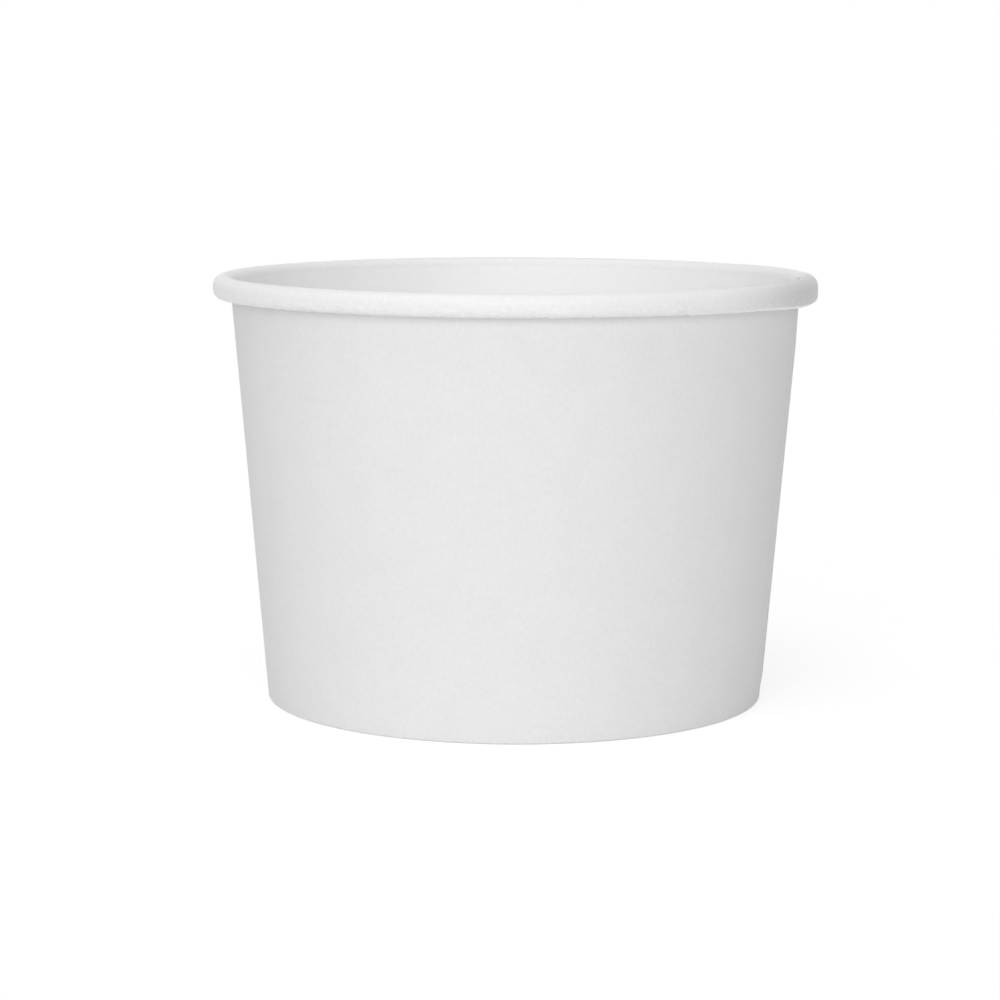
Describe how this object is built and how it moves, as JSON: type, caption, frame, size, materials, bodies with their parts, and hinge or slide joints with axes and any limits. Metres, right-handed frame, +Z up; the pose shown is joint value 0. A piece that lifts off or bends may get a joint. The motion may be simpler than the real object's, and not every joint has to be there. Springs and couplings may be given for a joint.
{
  "type": "paper sundae cup",
  "caption": "Plain white paper sundae cup: tapered board wall with a lapped side seam, a rolled rim and a folded foot, and a recessed bottom disc with a sealed skirt.",
  "frame": {"origin": "centre of the foot, on the plane that the cup stands on", "axes": "+Z up along the cup's centre line, -Y towards the side that the picture shows, and the side seam near +X"},
  "size_m": [0.09, 0.09, 0.0635],
  "materials": {
    "wall_board": "white uncoated board outside, with a thin clear film on the inside",
    "bottom_board": "white board, with a thin clear film on the upper side"
  },
  "bodies": {
    "root": {"side_wall": "wall_board", "bottom_disc": "bottom_board"}
  },
  "joints": []
}
